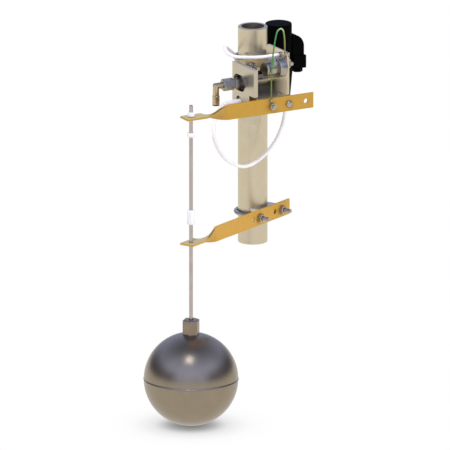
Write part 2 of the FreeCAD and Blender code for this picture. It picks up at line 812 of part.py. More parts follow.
def make_elbow():
    collet_low = slot_z - size("elbow_drop") - size("collet_height")
    corner = (elbow_x, slot_y, slot_z)
    leg = "sizes.elbow_leg / 2"
    across = cylinder("elbow_across", leg, "sizes.elbow_reach", corner, ALONG_X)
    bend = sphere("elbow_bend", leg, corner)
    down = cylinder("elbow_down", leg, "sizes.elbow_drop", corner, DOWN)
    mouth = (elbow_x, slot_y, collet_low)
    collet = cylinder("elbow_collet", "sizes.collet_diameter / 2", "sizes.collet_height", mouth)
    bore = cylinder("elbow_bore", "sizes.collet_bore / 2", "sizes.collet_height", mouth)
    return cut("supply_elbow", fuse("elbow_body", [across, bend, down, collet]), [bore])


def make_union():
    left = hexagon("union_left", "sizes.hex_flats", "sizes.hex_length", (hex_left, slot_y, slot_z), ALONG_X)
    right_base = (union_left, slot_y, slot_z)
    right = hexagon("union_right", "sizes.union_flats", "sizes.union_length", right_base, ALONG_X)
    return fuse("supply_union", [left, right])


def make_supply_tube():
    length = "sizes.front_plate_left - sizes.union_depth - %s" % REAR_REACH
    base = (union_right, slot_y, slot_z)
    return cylinder("supply_tube", "sizes.supply_diameter / 2", length, base, ALONG_X)


def make_stub():
    length = "sizes.stub_reach + sizes.front_plate_thickness + sizes.port_depth"
    base = (front_outer - size("stub_reach"), port_y, port_z)
    return cylinder("tube_stub", "sizes.stub_diameter / 2", length, base, ALONG_X)


def make_loop_port():
    half = size("loop_port_size") / 2
    x = size("loop_port_x")
    y = plate_front - size("loop_port_out")
    z = plate_low + size("loop_port_lift")
    collar = cylinder("loop_port_collar", TUBE_END_RADIUS, "sizes.loop_collar", (x, y, z))
    corner = (x - half, y - half, z + size("loop_collar"))
    depth = "sizes.loop_port_size / 2 + sizes.loop_port_out"
    body = box("loop_port_block", "sizes.loop_port_size", depth, "sizes.loop_port_size", corner)
    return fuse("loop_port", [body, collar])


def make_return_port():
    y = housing_front + size("return_inset")
    base = (rear_inner - size("return_length"), y, base_top + size("return_rise"))
    return cylinder("return_port", TUBE_END_RADIUS, "sizes.return_length", base, ALONG_X)


# Pilot valve on the rear plate

def make_pilot_barrel():
    left = flange_left - size("pilot_barrel_length")
    tube_base = (left, pilot_y, pilot_z)
    tube = cylinder("pilot_tube", "sizes.pilot_barrel / 2", "sizes.pilot_barrel_length", tube_base, ALONG_X)
    cap_x = flange_left - size("cap_offset")
    cap_radius = size("cap_diameter") / 2
    cap = cylinder("pilot_cap", "sizes.cap_diameter / 2", "sizes.cap_height", (cap_x, pilot_y, pilot_z))
    notch = size("cap_notch")
    notch_z = pilot_z + size("cap_height") - notch
    near_corner = (cap_x - notch / 2, pilot_y - cap_radius, notch_z)
    far_corner = (cap_x + cap_radius - size("cap_notch_length"), pilot_y - notch / 2, notch_z)
    tools = [
        box("cap_notch_near", "sizes.cap_notch", "sizes.cap_notch_length", "sizes.cap_notch", near_corner),
        box("cap_notch_far", "sizes.cap_notch_length", "sizes.cap_notch", "sizes.cap_notch", far_corner),
        cylinder(
            "cap_room", "sizes.pilot_flange / 2 + sizes.cap_play", "sizes.cap_diameter",
            (flange_left, pilot_y, pilot_z), ALONG_X,
        ),
    ]
    return cut("pilot_barrel", fuse("pilot_blank", [tube, cap]), tools)


def make_pilot_flange():
    disc_base = (flange_left, pilot_y, pilot_z)
    disc = cylinder("pilot_disc", "sizes.pilot_flange / 2", "sizes.pilot_flange_length", disc_base, ALONG_X)
    neck_base = (flange_right, pilot_y, pilot_z)
    neck = cylinder("pilot_neck_tube", "sizes.pilot_neck / 2", "sizes.pilot_neck_length", neck_base, ALONG_X)
    stud_length = "sizes.rear_plate_thickness + sizes.pilot_tail"
    stud_base = (rear_inner, pilot_y, pilot_z)
    stud = cylinder("pilot_stud_rod", "sizes.pilot_stud / 2", stud_length, stud_base, ALONG_X)
    return fuse("pilot_flange", [disc, neck, stud])


# Solenoid valve behind the rear plate

def make_coil():
    base = (size("coil_x"), size("coil_y"), coil_low)
    return cylinder("solenoid_coil", "sizes.coil_radius", "sizes.coil_height", base)


def make_skirt(name):
    base = (size("coil_x"), size("coil_y"), body_low)
    return cone(name, "sizes.body_low_radius", "sizes.body_high_radius", "sizes.body_height", base)


def make_valve_body():
    turn = radians(size("valve_port_turn"))
    base = (size("coil_x"), size("coil_y"), body_low + size("valve_port_lift"))
    port = cylinder("valve_port", TUBE_END_RADIUS, "sizes.valve_port_reach", base, (cos(turn), sin(turn), 0))
    return fuse("solenoid_body", [make_skirt("valve_skirt"), port])


def make_valve_bracket():
    left = size("back_plate_right") - size("bracket_inset")
    corner = (left, plate_back, body_low + size("bracket_lift"))
    depth = "sizes.coil_y + sizes.pipe_diameter / 2 + sizes.back_plate_gap"
    block = box("valve_bracket_blank", "sizes.bracket_width", depth, "sizes.bracket_height", corner)
    return cut("valve_bracket", block, [make_skirt("bracket_seat")])


def make_plug():
    y = size("coil_y") - size("plug_width") / 2
    corner = (plug_left, y, plug_low)
    body = box("plug_block", "sizes.plug_depth", "sizes.plug_width", "sizes.plug_height", corner)
    dome_base = (plug_left, y, plug_low + size("plug_height") - size("plug_depth"))
    dome = cylinder("plug_dome", "sizes.plug_depth", "sizes.plug_width", dome_base, ALONG_Y)
    under_height = "sizes.plug_height - sizes.plug_depth"
    under = box("plug_under", "sizes.plug_depth", "sizes.plug_width", under_height, corner)
    rounded = meet("plug_rounded", [body, fuse("plug_form", [dome, under])])
    lip = size("plug_foot_lip")
    foot_length = "sizes.plug_depth + sizes.plug_foot_lip"
    foot_width = "sizes.plug_width + 2 * sizes.plug_foot_lip"
    foot = box("plug_foot_block", foot_length, foot_width, "sizes.plug_foot", (plug_left, y - lip, plug_low))
    seat_base = (size("coil_x"), size("coil_y"), coil_low)
    seat = cylinder("plug_seat", "sizes.coil_radius", "sizes.coil_height", seat_base)
    return cut("solenoid_plug", fuse("plug_outside", [rounded, foot]), [seat, make_skirt("plug_skirt")])


def make_gland():
    x = plug_left + size("plug_depth") + size("plug_foot_lip") - size("gland_diameter") / 2
    base = (x, size("coil_y"), plug_low - size("gland_height"))
    nut = hexagon("gland_nut", "sizes.gland_diameter", "sizes.gland_height", base, roll=HEX_ROLL)
    bore = cylinder("gland_hole", "sizes.gland_bore / 2", "sizes.gland_height", base)
    return cut("plug_gland", nut, [bore])


# Cords: straight runs joined by tangent arcs

def cord_wire(points):
    knots = [Vector(*point) for point in points]
    edges = []
    radii = []
    start = knots[0]
    for before, corner, after in zip(knots, knots[1:], knots[2:]):
        back = (before - corner).normalize()
        forth = (after - corner).normalize()
        turn = pi - acos(back.dot(forth))
        trim = CORD_TRIM * min((before - corner).Length, (after - corner).Length)
        radius = trim / tan(turn / 2)
        entry = corner + back * trim
        leave = corner + forth * trim
        inward = (back + forth).normalize()
        middle = corner + inward * (radius / cos(turn / 2) - radius)
        edges.append(Part.LineSegment(start, entry).toShape())
        edges.append(Part.Arc(entry, middle, leave).toShape())
        radii.append(radius)
        start = leave
    edges.append(Part.LineSegment(start, knots[-1]).toShape())
    return Part.Wire(edges), min(radii)


def make_cord(label, points, diameter):
    wire, smallest = cord_wire(points)
    aim = Vector(*points[1]) - Vector(*points[0])
    profile = Part.Wire([Part.Circle(Vector(*points[0]), aim, diameter / 2).toShape()])
    shape = wire.makePipeShell([profile], True, False)
    ideal = pi * diameter ** 2 / 4 * wire.Length
    facts = (label, wire.Length, smallest, shape.Volume, ideal)
    print("%s: length %.1f, smallest radius %.1f, volume %.0f against %.0f" % facts)
    return solid(label, shape)


def make_cords():
    return [
        make_cord("signal_tube", LOOP_TUBE, size("tube_diameter")),
        make_cord("return_tube", TOP_TUBE, size("tube_diameter")),
        make_cord("earth_wire", EARTH_WIRE, size("wire_diameter")),
    ]


def check_and_write(nodes):
    doc.recompute()
    for item in doc.Objects:
        if "Invalid" in item.State or "Error" in item.State:
            raise RuntimeError("%s is %s" % (item.Label, item.State))
    for node in nodes:
        shape = node.Shape
        if shape.isNull() or not shape.isValid() or not shape.Solids:
            raise RuntimeError("%s has no valid solid" % node.Label)
    os.makedirs("parts", exist_ok=True)
    for node in nodes:
        node.Shape.exportStep("parts/%s.step" % node.Label)
        print("%s: %d solids, %.0f mm3" % (node.Label, len(node.Shape.Solids), node.Shape.Volume))


nodes = [make_pipe(), make_lever(), make_guide_arm()]
nodes += make_clamp("guide", guide_z, guide_turn, "guide_saddle_web", guide_front)
nodes += make_clamp("housing", base_top + size("clamp_rise"), 0.0, "back_plate_gap", -plate_front)
nodes += [make_float(), make_boss(), make_rod()] + make_collars()
nodes += [make_front_plate(), make_rear_plate(), make_back_plate(), make_base(), make_base_screw()]
nodes += [make_pivot(), make_pivot_washer(), make_drive_bolt(), make_drive_nut(), make_lever_lug()]
nodes += [make_plunger()] + make_plate_lug()
nodes += [make_elbow(), make_union(), make_supply_tube(), make_stub(), make_loop_port(), make_return_port()]
nodes += [make_pilot_barrel(), make_pilot_flange()]
nodes += [make_coil(), make_valve_body(), make_valve_bracket(), make_plug(), make_gland()]
nodes += make_cords()
check_and_write(nodes)
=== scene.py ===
import json
from math import cos, pi, radians, sin, sqrt

import bmesh
import bpy
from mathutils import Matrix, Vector


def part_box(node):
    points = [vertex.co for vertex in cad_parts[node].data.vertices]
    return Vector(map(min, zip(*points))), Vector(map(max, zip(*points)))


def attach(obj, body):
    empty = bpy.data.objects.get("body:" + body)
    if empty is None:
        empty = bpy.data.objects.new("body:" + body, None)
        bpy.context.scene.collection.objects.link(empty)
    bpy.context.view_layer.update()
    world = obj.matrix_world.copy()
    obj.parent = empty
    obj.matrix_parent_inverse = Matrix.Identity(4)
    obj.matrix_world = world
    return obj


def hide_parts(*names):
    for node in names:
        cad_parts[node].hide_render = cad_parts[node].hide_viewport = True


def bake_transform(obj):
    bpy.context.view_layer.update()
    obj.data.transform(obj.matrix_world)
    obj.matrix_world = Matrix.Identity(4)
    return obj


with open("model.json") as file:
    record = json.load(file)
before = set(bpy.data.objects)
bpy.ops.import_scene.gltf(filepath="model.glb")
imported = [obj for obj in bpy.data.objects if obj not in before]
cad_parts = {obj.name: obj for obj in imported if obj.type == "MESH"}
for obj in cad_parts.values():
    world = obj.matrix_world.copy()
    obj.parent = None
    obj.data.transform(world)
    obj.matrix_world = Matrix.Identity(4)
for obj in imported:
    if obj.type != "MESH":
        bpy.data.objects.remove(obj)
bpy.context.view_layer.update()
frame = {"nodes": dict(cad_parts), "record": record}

# Lengths are in metres. Colours of finishes are red, green and blue from 0 to 255. Lights go from 0 up.

WHITE = (1, 1, 1, 1)

# The photograph's view
IMAGE_PIXELS = 450
METRES_PER_PIXEL = 0.001629
AZIMUTH = radians(-29.6)
ELEVATION = radians(15.2)
VIEW_CENTRE = Vector((-0.0392, 0.0223, 0.0269))
CAMERA_DISTANCE = 3.0

# Lamps
LAMP_TARGET = (-0.08, -0.07, 0.1)
KEY_PLACE = (-1.01, -1.22, 2.32)
KEY_SIZE = 0.5
KEY_POWER = 26
GLINT_SIZE = 0.24
GLINT_POWER = 9
GLINT_LIGHT = (0.88, 0.93, 1.0)
SIDE_PLACE = (1.9, -1.9, 0.9)
SIDE_SIZE = 1.6
SIDE_POWER = 22

# The sky that shiny surfaces reflect, from below at 0 over the horizon at 0.5 to straight up at 1
SKY_STOPS = [
    (0.50, (1.0, 0.99, 0.97)), (0.53, (0.70, 0.79, 1.10)), (0.65, (0.80, 0.94, 1.55)),
    (0.76, (0.84, 1.00, 1.68)), (0.88, (0.55, 0.66, 1.10)), (1.0, (0.22, 0.27, 0.44)),
]
MIRROR_STRENGTH = 0.95

# The sky behind the part is dimmer than the sky before it, but not at the horizon
AHEAD_STOPS = [(0.45, (0.62, 0.62, 0.62)), (0.65, (1, 1, 1))]
HORIZON_STOPS = [(0.50, (1, 1, 1)), (0.53, (0, 0, 0))]

# Dark screens stand at both flanks, up to a middle height
FLANK_STOPS = [(0.50, (0, 0, 0)), (0.78, (1, 1, 1))]
SCREEN_STOPS = [(0.505, (0, 0, 0)), (0.54, (1, 1, 1)), (0.64, (1, 1, 1)), (0.76, (0, 0, 0))]
SCREEN_DEPTH = 0.85
SCREEN_LIGHT = (0.05, 0.045, 0.04, 1)

# The sky that lights dull surfaces
SOFT_LIGHT = (0.80, 0.79, 0.78, 1)
SOFT_STRENGTH = 0.85

# The floor, as the camera sees it, as shiny surfaces reflect it and as it lights the part
FLOOR_SIZE = 60.0
FLOOR_GAP = 0.0006
SHADOW_REACH = 0.17
SHADOW_SAMPLES = 32
SHADOW_STOPS = [
    (0.0, (0.17, 0.17, 0.17)), (0.25, (0.40, 0.40, 0.40)), (0.50, (0.80, 0.80, 0.80)),
    (0.76, (0.97, 0.97, 0.97)), (0.90, (1, 1, 1)),
]
FLOOR_MIRRORED = (0.98, 0.97, 0.95, 1)
FLOOR_BOUNCE = (0.80, 0.79, 0.77, 1)

# Grain that every finish has: detail of its noise, size of its blotches and depth of its dents
FINE_DETAIL = 4.0
BROAD_DETAIL = 2.0
BLOTCH_RATIO = 18
DARK_BLOTCH = 0.3
LIGHT_BLOTCH = 0.7
ROUGH_SWING = 0.04
DENT_DEPTH = 0.0003
BRUSHED = (1, 1, 0.05)

# Painted light in the housing, a warm glow on the rear plate's inner face that stands in for light falling
# in: from and to along Y, and its strength
PAINTED_INNER_LIGHT = (196, 182, 154)
PAINTED_INNER_REACH = (-0.080, -0.125, 0.75)

# Painted light on the top of the base, a bluish glow on upward faces: from and to in steepness, and its
# strength
PAINTED_TOP_LIGHT = (126, 126, 138)
PAINTED_TOP_FACING = (0.80, 0.98, 0.12)

# Shade over the foot of the back plate: from and to in height, and the brightness at either end
FOOT_SHADE = (0.300, 0.318, 1.0, 0.22)

# Painted light and shade where the arms turn into their ears: a painted sheen on the ears' upward faces, a
# painted shade on the twist's rising faces and a painted highlight on its downward faces; from, to and
# strength, along X or in steepness
EAR_SHEEN_COLOUR = (186, 176, 132)
EAR_FACING = (0.75, 0.95, 0.8)
EAR_REACH = (-0.125, -0.150)
TWIST_REACH = (-0.112, -0.122)
EDGE_SHADE_COLOUR = (74, 80, 34)
EDGE_RISING = (0.15, 0.35, 0.8)
EDGE_LEVEL = (0.85, 0.95, 0.0, 1.0)
EDGE_FORWARD = (-0.05, -0.20)
PEACH_HIGHLIGHT_COLOUR = (236, 184, 112)
PEACH_FALLING = (-0.15, -0.50, 0.2)

# Colours along the earth wire, from its lug on the lever to its lug on the plate; the pale stop at 0.76,
# where the wire tops its bend, is a painted highlight
WIRE_STOPS = [
    (0.0, (106, 118, 46)), (0.30, (84, 124, 48)), (0.50, (50, 124, 56)), (0.68, (58, 134, 70)),
    (0.76, (192, 210, 158)), (0.82, (130, 150, 78)), (1.0, (120, 114, 60)),
]
WIRE_GRAIN = 160
WIRE_SWAY = 0.05
WIRE_ROUGHNESS = 0.4

# Routes of the tubes and the wire
SIGNAL_TUBE = [
    (-0.0847, -0.0760, 0.2634), (-0.0965, -0.0760, 0.2634), (-0.1140, -0.0865, 0.2560),
    (-0.1235, -0.0888, 0.2365), (-0.1240, -0.0888, 0.2105), (-0.1100, -0.0860, 0.1830),
    (-0.0880, -0.0800, 0.1620), (-0.0560, -0.0719, 0.1475), (-0.0240, -0.0673, 0.1565),
    (0.0040, -0.0633, 0.1770), (0.0200, -0.0610, 0.2030), (0.0264, -0.0600, 0.2240),
    (0.0264, -0.0600, 0.2360),
]
RETURN_TUBE = [
    (-0.0111, -0.1040, 0.3400), (-0.0245, -0.1040, 0.3400), (-0.0360, -0.0965, 0.3380),
    (-0.0450, -0.0820, 0.3350), (-0.0545, -0.0640, 0.3320), (-0.0615, -0.0440, 0.3300),
    (-0.0630, -0.0230, 0.3315), (-0.0545, -0.0030, 0.3355), (-0.0400, 0.0175, 0.3280),
    (-0.0210, 0.0375, 0.3150), (-0.0010, 0.0525, 0.3000), (0.0160, 0.0605, 0.2845),
    (0.0290, 0.0615, 0.2695), (0.0385, 0.0525, 0.2620), (0.0455, 0.0404, 0.2620),
]
EARTH_WIRE = [
    (-0.0410, -0.1340, 0.2770), (-0.0414, -0.1341, 0.2960), (-0.0408, -0.1339, 0.3190),
    (-0.0388, -0.1332, 0.3400), (-0.0358, -0.1320, 0.3590), (-0.0320, -0.1306, 0.3745),
    (-0.0284, -0.1292, 0.3860), (-0.0229, -0.1272, 0.3906), (-0.0166, -0.1248, 0.3902),
    (-0.0120, -0.1230, 0.3854), (-0.0098, -0.1222, 0.3734), (-0.0083, -0.1206, 0.3580),
    (-0.0083, -0.1206, 0.3470),
]
TUBE_DIAMETER = 0.006
WIRE_DIAMETER = 0.0024
WIRE_LENGTH = 0.169
CURVE_ORDER = 3
CURVE_STEPS = 12
RIM_STEPS = 6
WIRE_SIDES = 14
UV_PER_METRE = 100

# The clamps' threads, nuts and washers. A profile pairs a radius with a place along its axis.
CLAMP_HALF = 0.031225
CLAMP_ROD = 0.003175
TAIL_LENGTH = 0.0115
GUIDE_TURN = radians(25.925)
GUIDE_HEIGHT = 0.0516
GUIDE_NUT = 0.0420
NUT_PROFILE = [
    (0.0036, 0.0363), (0.0067, 0.0363), (0.00733, 0.0368), (0.00733, 0.0412), (0.0064, GUIDE_NUT),
    (0.0050, GUIDE_NUT), (0.0036, 0.0408), (0.0036, 0.0363),
]
WASHER_PROFILE = [
    (0.0032, 0.0348), (0.0072, 0.0348), (0.0074, 0.0350), (0.0074, 0.0362), (0.0072, 0.0364),
    (0.0032, 0.0364), (0.0032, 0.0348),
]
HOUSING_NUT = 0.0622
HOUSING_HEIGHT = 0.312
DRIVE_ROD = 0.003
DRIVE_TIP = 0.0027
DRIVE_END = (-0.0379, -0.1368, 0.2636)
THREAD_PITCH = 0.0013
THREAD_FLANKS = [(0.25, -0.0001), (0.55, 0.00025), (0.85, -0.0001)]
THREAD_START = -0.0002
THREAD_SHARP = radians(80)

# The ball on its rod
ROD_PLACE = (-0.1886, -0.1286)
BALL_PLACE = (*ROD_PLACE, -0.1768)
BALL_RADIUS = 0.0770
BALL_SIDES = 144
BALL_STEP = 3

# The seam pairs a height with a rise over the ball's skin
SEAM_SHIFT = 0.0004
SEAM = [
    (-0.0012, -0.00001), (-0.0010, 0.0003), (-0.0006, 0.00058), (0.0, 0.0007), (0.0006, 0.00058),
    (0.0010, 0.0003), (0.0012, -0.00001),
]

# The hex boss over the ball
BOSS_FLATS = 0.0246
BOSS_CORNER = BOSS_FLATS / sqrt(3)
BOSS_TURN = radians(-14.5)
BOSS_PROFILE = [
    (0.0002, -0.0998), (0.0070, -0.1002), (BOSS_CORNER, -0.1011), (BOSS_CORNER, -0.0782),
    (BOSS_CORNER - 0.0016, -0.0766), (0.0046, -0.0766), (0.0038, -0.0778),
]

# The supply line: elbow, union and sleeve
SUPPLY_HEIGHT = 0.2948
ELBOW_PLACE = (-0.113, -0.0777)
ELBOW_RADIUS = 0.0052
ELBOW_CUT = 0.0065
ELBOW_FOOT = 0.2786
ELBOW_END = -0.1008
COLLAR_PROFILE = [
    (0.0032, 0.2640), (0.0056, 0.2640), (0.0060, 0.2644), (0.0060, 0.2745), (0.00575, 0.2748),
    (0.00575, 0.2754), (0.0060, 0.2757), (0.0060, 0.2784), (0.0055, 0.2790), (0.0032, 0.2790),
    (0.0032, 0.2640),
]
RELEASE_PROFILE = [
    (0.0032, 0.2642), (0.0058, 0.2642), (0.0058, 0.2629), (0.0053, 0.2624), (0.0032, 0.2624),
    (0.0032, 0.2642),
]
UNION_TURN = radians(10)
UNION_PROFILE = [
    (0.0050, -0.1010), (0.0093, -0.1010), (0.0102, -0.1001), (0.0102, -0.0817), (0.0093, -0.0808),
    (0.0074, -0.0807), (0.0074, -0.0793), (0.0086, -0.0791), (0.0094, -0.0783), (0.0094, -0.0600),
    (0.0086, -0.0590), (0.0050, -0.0590),
]
SLEEVE_PROFILE = [
    (0.0060, -0.0588), (0.0088, -0.0588), (0.0088, -0.0212), (0.0078, -0.0200), (0.0060, -0.0200),
    (0.0060, -0.0588),
]

# The dome on the pivot bolt and the screw on the connector
PIVOT_HEAD = (-0.0059, -0.1333, 0.2636)
PIVOT_PROFILE = [(0.0049, -0.0002), (0.0048, 0.0002), (0.0040, 0.0006), (0.0024, 0.0009), (0.0002, 0.0010)]
PLUG_SCREW = (0.0860, 0.0044, 0.3240)
SCREW_PROFILE = [(0.0034, -0.0010), (0.0034, 0.0004), (0.0029, 0.0008), (0.0003, 0.0008)]

# Sides of the turned shapes
HEX = 6
SCREW_SIDES = 32
SMALL_SIDES = 40
ROUND_SIDES = 48
NEARLY_UPRIGHT = 0.01

# Points closer than WELD are one point. Faces that meet at more than a sharp angle keep their edge.
WELD = 1e-6
SHARP = radians(32)
ROUND_SHARP = radians(60)
POLE_RADIUS = 0.0002

# Nodes whose finish differs from the rest of their slot
OTHER_FINISHES = {
    "mast_pipe": "pipe_steel", "front_plate": "plate_steel", "rear_plate": "inner_steel_painted_light",
    "back_plate": "back_steel", "base_block": "base_steel_painted_light", "lever_arm": "lever_paint",
    "float_boss": "boss_steel", "pilot_barrel": "dark_steel", "pilot_flange": "dark_steel",
}

# Rounding of each node's edges
FLAT_ANGLE = radians(1.0)
EDGE_ANGLE = radians(35)
EDGE_SEGMENTS = 2
EDGE_WIDTHS = {
    0.0002: ("pivot_washer", "housing_washers", "plate_earth_lug", "lever_earth_lug"),
    0.0003: ("top_collar", "lift_collar", "stop_sleeve", "valve_plunger", "return_port"),
    0.0004: ("lever_arm", "guide_arm", "rear_plate", "earth_screw"),
    0.0005: ("valve_bracket", "base_screw"),
    0.0006: (
        "front_plate", "back_plate", "guide_saddle", "housing_saddle", "loop_port", "pilot_barrel",
        "plug_gland",
    ),
    0.0007: ("base_block", "housing_nuts", "drive_nut"),
    0.0008: ("pilot_flange", "solenoid_plug"),
    0.0009: ("pivot_bolt",),
    0.0016: ("solenoid_coil",),
}


# Camera, light and floor

def aim(obj, target):
    obj.rotation_euler = (Vector(target) - obj.location).to_track_quat("-Z", "Y").to_euler()


def make_camera():
    camera = bpy.data.objects.new("camera", bpy.data.cameras.new("camera"))
    bpy.context.collection.objects.link(camera)
    camera.data.type = "ORTHO"
    camera.data.ortho_scale = IMAGE_PIXELS * METRES_PER_PIXEL
    camera.data.clip_end = 2 * CAMERA_DISTANCE + FLOOR_SIZE
    outward = Vector((sin(AZIMUTH) * cos(ELEVATION), -cos(AZIMUTH) * cos(ELEVATION), sin(ELEVATION)))
    camera.location = VIEW_CENTRE + outward * CAMERA_DISTANCE
    aim(camera, VIEW_CENTRE)
    bpy.context.scene.camera = camera


def area_lamp(name, place, size, power, colour=(1, 1, 1)):
    data = bpy.data.lights.new(name, "AREA")
    data.shape = "RECTANGLE"
    data.size = size
    data.size_y = size
    data.energy = power
    data.color = colour
    lamp = bpy.data.objects.new(name, data)
    bpy.context.collection.objects.link(lamp)
    lamp.location = place
    aim(lamp, LAMP_TARGET)
    return lamp


def make_lights():
    key = area_lamp("key", KEY_PLACE, KEY_SIZE, KEY_POWER)
    key.visible_glossy = False
    area_lamp("glint", KEY_PLACE, GLINT_SIZE, GLINT_POWER, GLINT_LIGHT)
    side = area_lamp("side", SIDE_PLACE, SIDE_SIZE, SIDE_POWER)
    side.visible_glossy = False


def level_part(tree, axes, across, along):
    return tree.math("ADD", tree.math("MULTIPLY", axes["X"], across), tree.math("MULTIPLY", axes["Y"], along))


def sky_ahead(tree, axes):
    ahead = level_part(tree, axes, sin(AZIMUTH), -cos(AZIMUTH))
    bright = tree.ramp(ahead, AHEAD_STOPS, shift=True)
    low = tree.ramp(axes["Z"], HORIZON_STOPS, shift=True)
    return tree.math("MAXIMUM", bright, low)


def dark_screens(tree, axes):
    aside = tree.math("ABSOLUTE", level_part(tree, axes, cos(AZIMUTH), sin(AZIMUTH)))
    flank = tree.ramp(aside, FLANK_STOPS)
    height = tree.ramp(axes["Z"], SCREEN_STOPS, shift=True)
    return tree.math("MULTIPLY", tree.math("MULTIPLY", flank, height), SCREEN_DEPTH)


def make_world():
    world = bpy.data.worlds.new("studio")
    bpy.context.scene.world = world
    world.use_nodes = True
    tree = Tree(world.node_tree)
    place = tree.add("ShaderNodeTexCoord")
    axes = tree.add("ShaderNodeSeparateXYZ", {0: place.outputs["Generated"]}).outputs
    sky = tree.mix(1.0, tree.ramp(axes["Z"], SKY_STOPS, shift=True), sky_ahead(tree, axes), "MULTIPLY")
    screened = tree.mix(dark_screens(tree, axes), sky, SCREEN_LIGHT)
    mirror = tree.add("ShaderNodeBackground", {"Color": screened, "Strength": MIRROR_STRENGTH})
    soft = tree.add("ShaderNodeBackground", {"Color": SOFT_LIGHT, "Strength": SOFT_STRENGTH})
    plain = tree.add("ShaderNodeBackground", {"Color": WHITE, "Strength": 1.0})
    tree.add("ShaderNodeOutputWorld", {"Surface": tree.by_ray(plain, mirror, soft)})


def floor_material():
    material, tree = new_tree("floor")
    open_sky = tree.add("ShaderNodeAmbientOcclusion", {"Distance": SHADOW_REACH}, samples=SHADOW_SAMPLES)
    seen = tree.add("ShaderNodeEmission", {"Color": tree.ramp(open_sky.outputs["AO"], SHADOW_STOPS)})
    mirrored = tree.add("ShaderNodeEmission", {"Color": FLOOR_MIRRORED})
    bounce = tree.add("ShaderNodeBsdfDiffuse", {"Color": FLOOR_BOUNCE})
    tree.add("ShaderNodeOutputMaterial", {"Surface": tree.by_ray(seen, mirrored, bounce)})
    return material


def make_floor():
    half = FLOOR_SIZE / 2
    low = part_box("float_ball")[0][2] - FLOOR_GAP
    mesh = bpy.data.meshes.new("floor")
    corners = [(-half, -half, low), (half, -half, low), (half, half, low), (-half, half, low)]
    mesh.from_pydata(corners, [], [(0, 1, 2, 3)])
    mesh.materials.append(floor_material())
    floor = bpy.data.objects.new("floor", mesh)
    bpy.context.collection.objects.link(floor)


# Steps that build a finish

class Tree:
    def __init__(self, tree):
        self.tree = tree
        tree.nodes.clear()

    def put(self, socket, value):
        if isinstance(value, bpy.types.Node):
            value = value.outputs[0]
        if isinstance(value, bpy.types.NodeSocket):
            self.tree.links.new(value, socket)
        else:
            socket.default_value = value

    def add(self, kind, inputs=None, **settings):
        node = self.tree.nodes.new(kind)
        for name, value in settings.items():
            setattr(node, name, value)
        for key, value in (inputs or {}).items():
            self.put(node.inputs[key], value)
        return node

    def math(self, operation, first, second=0.0, third=0.0):
        return self.add("ShaderNodeMath", {0: first, 1: second, 2: third}, operation=operation)

    def mix(self, amount, first, second, blend="MIX"):
        return self.add("ShaderNodeMixRGB", {0: amount, 1: first, 2: second}, blend_type=blend)

    def fade(self, value, start, end, high=1.0, low=0.0):
        return self.add("ShaderNodeMapRange", {
            "Value": value, "From Min": start, "From Max": end, "To Min": low, "To Max": high})

    def axes(self, output):
        geometry = self.add("ShaderNodeNewGeometry")
        return self.add("ShaderNodeSeparateXYZ", {0: geometry.outputs[output]}).outputs

    def by_ray(self, seen, mirrored, other):
        ray = self.add("ShaderNodeLightPath").outputs
        unseen = self.add("ShaderNodeMixShader", {0: ray["Is Glossy Ray"], 1: other, 2: mirrored})
        return self.add("ShaderNodeMixShader", {0: ray["Is Camera Ray"], 1: unseen, 2: seen})

    def ramp(self, source, stops, shift=False):
        if shift:
            source = self.math("MULTIPLY_ADD", source, 0.5, 0.5)
        node = self.add("ShaderNodeValToRGB", {0: source})
        while len(node.color_ramp.elements) < len(stops):
            node.color_ramp.elements.new(0.5)
        for element, (place, colour) in zip(node.color_ramp.elements, stops):
            element.position = place
            element.color = (*colour, 1)
        return node

    def noise(self, scale, detail, stretch=(1, 1, 1)):
        place = self.add("ShaderNodeTexCoord")
        mapped = self.add("ShaderNodeMapping", {0: place.outputs["Object"], "Scale": stretch})
        return self.add("ShaderNodeTexNoise", {"Vector": mapped, "Scale": scale, "Detail": detail})


def linear(colour):
    values = [channel / 255 for channel in colour]
    return tuple(v / 12.92 if v <= 0.04045 else ((v + 0.055) / 1.055) ** 2.4 for v in values)


def opaque(colour):
    return (*linear(colour), 1)


def new_tree(name):
    material = bpy.data.materials.new(name)
    material.use_nodes = True
    return material, Tree(material.node_tree)


def surface(name, colour, metallic, roughness, grain, stretch=(1, 1, 1), bump=0.03, spread=0.06,
            inputs=None, finish=None):
    material, tree = new_tree(name)
    fine = tree.noise(grain, FINE_DETAIL, stretch)
    broad = tree.noise(grain / BLOTCH_RATIO, BROAD_DETAIL)
    dark = tuple(channel * (1 - spread) for channel in linear(colour))
    light = tuple(min(1.0, channel * (1 + spread)) for channel in linear(colour))
    tint = tree.ramp(broad, [(DARK_BLOTCH, dark), (LIGHT_BLOTCH, light)])
    rough = tree.math("MULTIPLY_ADD", fine, 2 * ROUGH_SWING, roughness - ROUGH_SWING)
    dent = tree.add("ShaderNodeBump", {"Height": fine, "Strength": bump, "Distance": DENT_DEPTH})
    sockets = {"Base Color": tint, "Metallic": metallic, "Roughness": rough, "Normal": dent}
    sockets.update(inputs or {})
    if finish:
        finish(tree, sockets)
    shader = tree.add("ShaderNodeBsdfPrincipled", sockets)
    tree.add("ShaderNodeOutputMaterial", {"Surface": shader})
    return material


# Painted light and shade that a finish adds

def paint_light_inside(tree, sockets):
    # Painted light: faces turned towards -X glow, more strongly towards -Y
    facing = tree.axes("Normal")
    inward = tree.math("MAXIMUM", tree.math("MULTIPLY", facing["X"], -1.0), 0.0)
    near = tree.fade(tree.axes("Position")["Y"], *PAINTED_INNER_REACH)
    sockets["Emission Color"] = opaque(PAINTED_INNER_LIGHT)
    sockets["Emission Strength"] = tree.math("MULTIPLY", near, inward)


